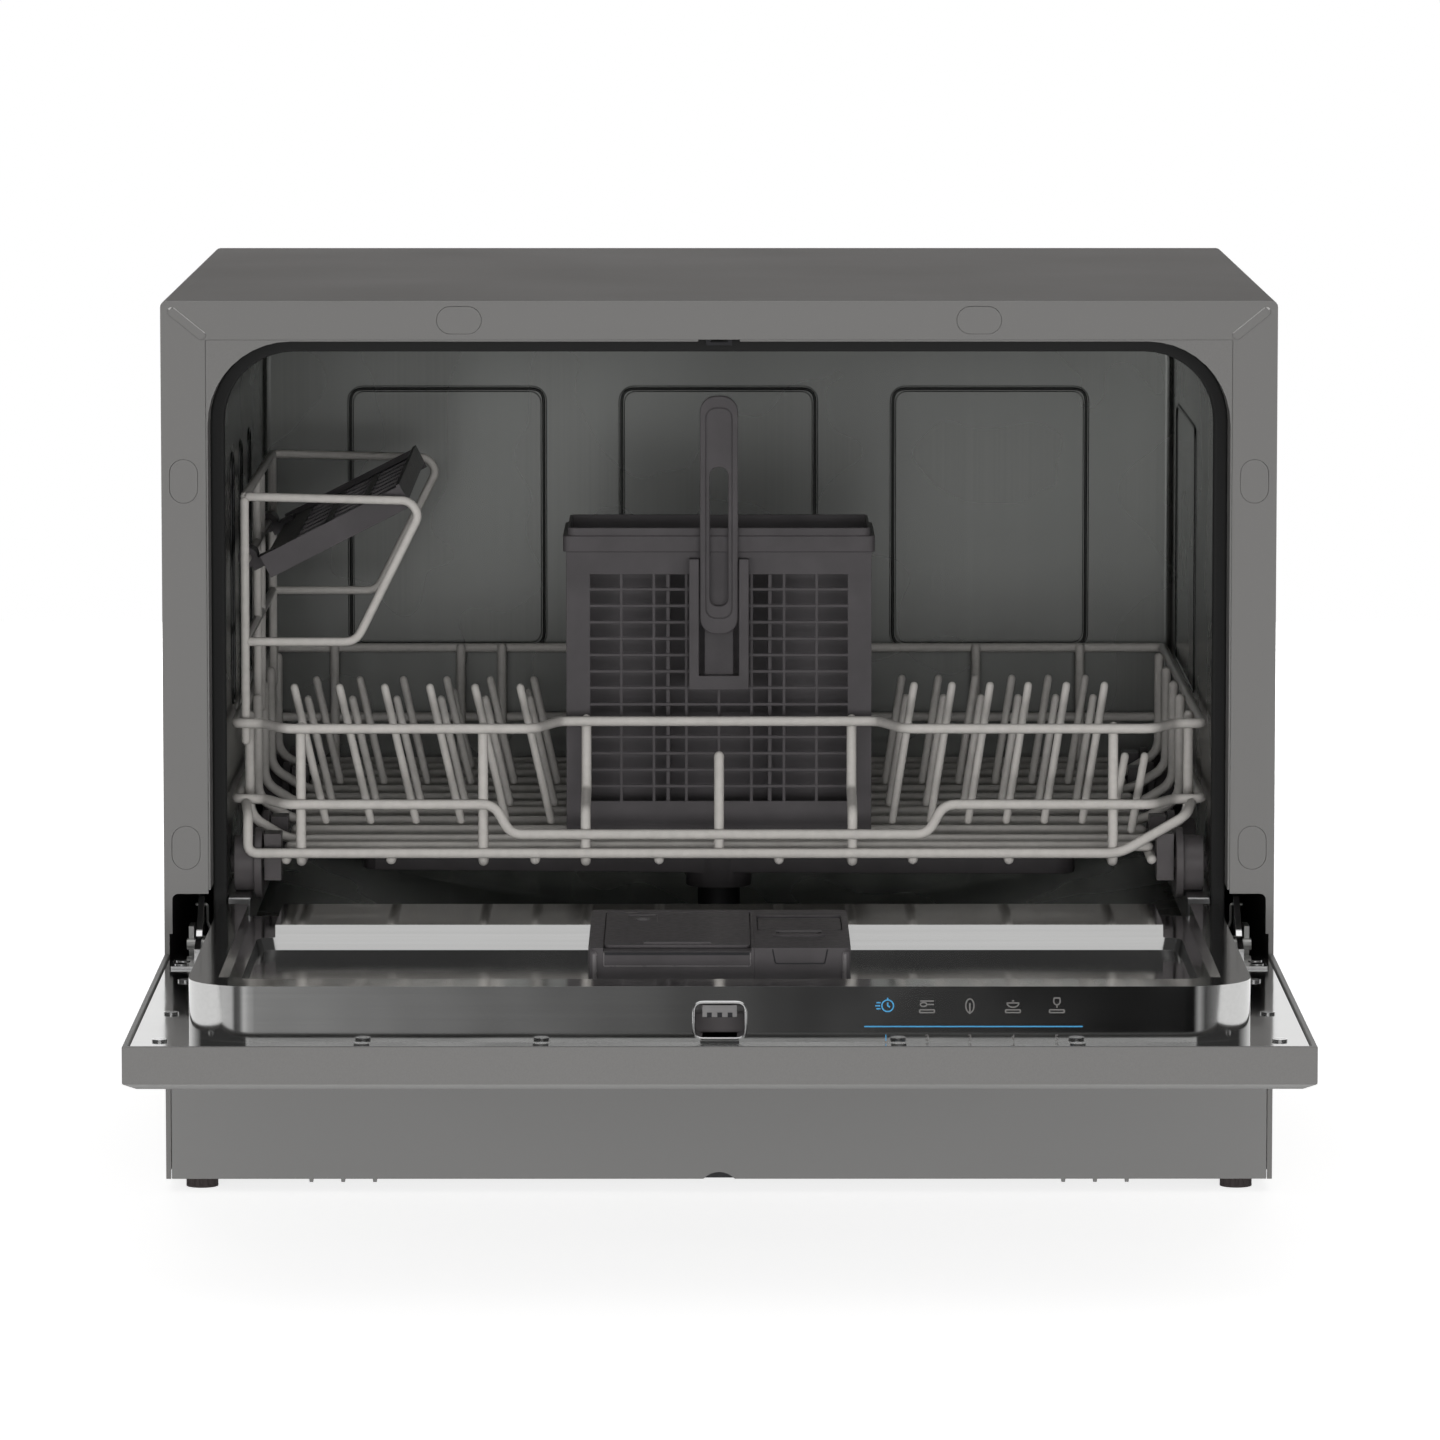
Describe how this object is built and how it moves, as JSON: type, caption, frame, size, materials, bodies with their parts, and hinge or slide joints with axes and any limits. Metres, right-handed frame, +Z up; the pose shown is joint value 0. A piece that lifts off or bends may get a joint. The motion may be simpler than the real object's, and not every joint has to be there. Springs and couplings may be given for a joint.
{
  "type": "countertop dishwasher",
  "caption": "Compact countertop dishwasher with a drop-down front door, steel tub and rolling wire dish basket with glass rack, cup shelf and cutlery basket.",
  "frame": {"origin": "middle of the footprint of the machine with its door open, on the worktop under the feet", "axes": "+X to the right seen from the front, +Y towards the back, +Z up"},
  "size_m": [0.55, 0.788, 0.443],
  "materials": {
    "grey_paint": "satin",
    "front_paint": "satin",
    "brushed_tub": "brushed",
    "bright_steel": "satin",
    "zinc_plate": "zinc plated",
    "chrome": "polished",
    "coated_wire": "nylon-coated wire",
    "dark_plastic": "satin",
    "wheel_plastic": "satin",
    "foot_rubber": "matt",
    "seal_rubber": "matt",
    "black_plastic": "matt",
    "black_glass": "gloss",
    "button_metal": "spun",
    "white_plastic": "matt",
    "circuit_green": "solder mask"
  },
  "bodies": {
    "cabinet": {"outer_casing": "grey_paint", "front_frame": "front_paint", "frame_plugs": "dark_plastic", "back_panel": "zinc_plate", "casing_screws": "zinc_plate", "plinth": "front_paint", "base_tray": "black_plastic", "feet": "foot_rubber", "tub": "brushed_tub", "tub_floor": "brushed_tub", "tub_rails": "bright_steel", "door_gasket": "seal_rubber", "latch_strike": "dark_plastic", "sump": "black_plastic", "filter_plate": "bright_steel", "circulation_pump": "black_plastic", "drain_pump": "black_plastic", "water_heater": "zinc_plate", "water_softener": "white_plastic", "float_switch": "white_plastic", "inlet_valve": "white_plastic", "drain_connector": "black_plastic", "power_inlet": "black_plastic", "air_break": "white_plastic", "hinge_brackets": "zinc_plate", "hinge_pins": "zinc_plate", "door_springs": "zinc_plate"},
    "salt_cap": {"salt_cap": "dark_plastic"},
    "filter_cup": {"filter_cup": "dark_plastic"},
    "spray_arm": {"spray_arm": "dark_plastic"},
    "float_cap": {"float_cap": "white_plastic"},
    "door": {"door_panel": "front_paint", "door_liner": "brushed_tub", "control_fascia": "black_plastic", "display_window": "black_glass", "control_board": "circuit_green", "latch_housing": "black_plastic", "latch_bezel": "chrome", "dispenser_body": "dark_plastic", "hinge_arms": "chrome", "door_screws": "chrome"},
    "detergent_lid": {"detergent_lid": "dark_plastic"},
    "rinse_flap": {"rinse_flap": "dark_plastic"},
    "latch_hook": {"latch_hook": "wheel_plastic"},
    "button_power": {"button_power": "button_metal"},
    "button_program": {"button_program": "button_metal"},
    "button_start": {"button_start": "button_metal"},
    "basket": {"basket_frame": "coated_wire", "basket_floor": "coated_wire", "left_pins": "coated_wire", "right_pins": "coated_wire", "glass_rack": "coated_wire", "wheel_clips": "wheel_plastic"},
    "front_wheels": {"front_wheels": "wheel_plastic"},
    "second_wheels": {"second_wheels": "wheel_plastic"},
    "third_wheels": {"third_wheels": "wheel_plastic"},
    "rear_wheels": {"rear_wheels": "wheel_plastic"},
    "cup_shelf": {"cup_shelf": "dark_plastic"},
    "cutlery_basket": {"cutlery_basket": "dark_plastic"},
    "cutlery_handle": {"cutlery_handle": "dark_plastic"}
  },
  "joints": [
    {"name": "door_hinge", "type": "hinge", "parent": "cabinet", "child": "door", "pos_m": [0, -0.0765, 0.1235], "axis": [1, 0, 0], "range_deg": [-90, 0], "deforming": ["door_springs"]},
    {"name": "basket_slide", "type": "slide", "parent": "cabinet", "child": "basket", "axis": [0, -1, 0], "range_m": [0, 0.3]},
    {"name": "front_wheel_spin", "type": "hinge", "parent": "basket", "child": "front_wheels", "pos_m": [0, -0.0285, 0.15805], "axis": [1, 0, 0], "continuous": true},
    {"name": "second_wheel_spin", "type": "hinge", "parent": "basket", "child": "second_wheels", "pos_m": [0, 0.0425, 0.15805], "axis": [1, 0, 0], "continuous": true},
    {"name": "third_wheel_spin", "type": "hinge", "parent": "basket", "child": "third_wheels", "pos_m": [0, 0.2575, 0.15805], "axis": [1, 0, 0], "continuous": true},
    {"name": "rear_wheel_spin", "type": "hinge", "parent": "basket", "child": "rear_wheels", "pos_m": [0, 0.3285, 0.15805], "axis": [1, 0, 0], "continuous": true},
    {"name": "cup_shelf_hinge", "type": "hinge", "parent": "basket", "child": "cup_shelf", "pos_m": [-0.23755, -0.08, 0.308], "axis": [0, -1, 0], "range_deg": [-27, 60]},
    {"name": "cutlery_lift", "type": "slide", "parent": "basket", "child": "cutlery_basket", "axis": [0, 0, 1], "range_m": [0, 0.025]},
    {"name": "handle_slide", "type": "slide", "parent": "cutlery_basket", "child": "cutlery_handle", "axis": [0, 0, 1], "range_m": [-0.02, 0.025]},
    {"name": "salt_cap_twist", "type": "hinge", "parent": "cabinet", "child": "salt_cap", "pos_m": [-0.19, 0.05, 0.11], "axis": [0, 0, 1], "range_deg": [0, 90]},
    {"name": "filter_cup_twist", "type": "hinge", "parent": "cabinet", "child": "filter_cup", "pos_m": [0, 0.126, 0.1], "axis": [0, 0, 1], "range_deg": [0, 60]},
    {"name": "spray_arm_spin", "type": "hinge", "parent": "cabinet", "child": "spray_arm", "pos_m": [0, 0.158, 0.131], "axis": [0, 0, 1], "continuous": true},
    {"name": "float_lift", "type": "slide", "parent": "cabinet", "child": "float_cap", "axis": [0, 0, 1], "range_m": [0, 0.006]},
    {"name": "detergent_lid_slide", "type": "slide", "parent": "door", "child": "detergent_lid", "axis": [0, -1, 0], "range_m": [0, 0.065]},
    {"name": "rinse_flap_hinge", "type": "hinge", "parent": "door", "child": "rinse_flap", "pos_m": [0.038, -0.22, 0.1484], "axis": [-1, 0, 0], "range_deg": [-90, 0]},
    {"name": "latch_hook_pivot", "type": "hinge", "parent": "door", "child": "latch_hook", "pos_m": [0, -0.356, 0.132], "axis": [1, 0, 0], "range_deg": [0, 10], "stiffness_Nm_per_rad": 0.3},
    {"name": "button_power_press", "type": "slide", "parent": "door", "child": "button_power", "axis": [0, 0, 1], "range_m": [0, 0.0012], "stiffness_N_per_m": 900},
    {"name": "button_program_press", "type": "slide", "parent": "door", "child": "button_program", "axis": [0, 0, 1], "range_m": [0, 0.0012], "stiffness_N_per_m": 900},
    {"name": "button_start_press", "type": "slide", "parent": "door", "child": "button_start", "axis": [0, 0, 1], "range_m": [0, 0.0012], "stiffness_N_per_m": 900}
  ],
  "couplings": [
    {"joint": "front_wheel_spin", "follows": "basket_slide", "rad_per_m": 71.429},
    {"joint": "second_wheel_spin", "follows": "basket_slide", "rad_per_m": 71.429},
    {"joint": "third_wheel_spin", "follows": "basket_slide", "rad_per_m": 71.429},
    {"joint": "rear_wheel_spin", "follows": "basket_slide", "rad_per_m": 71.429}
  ]
}
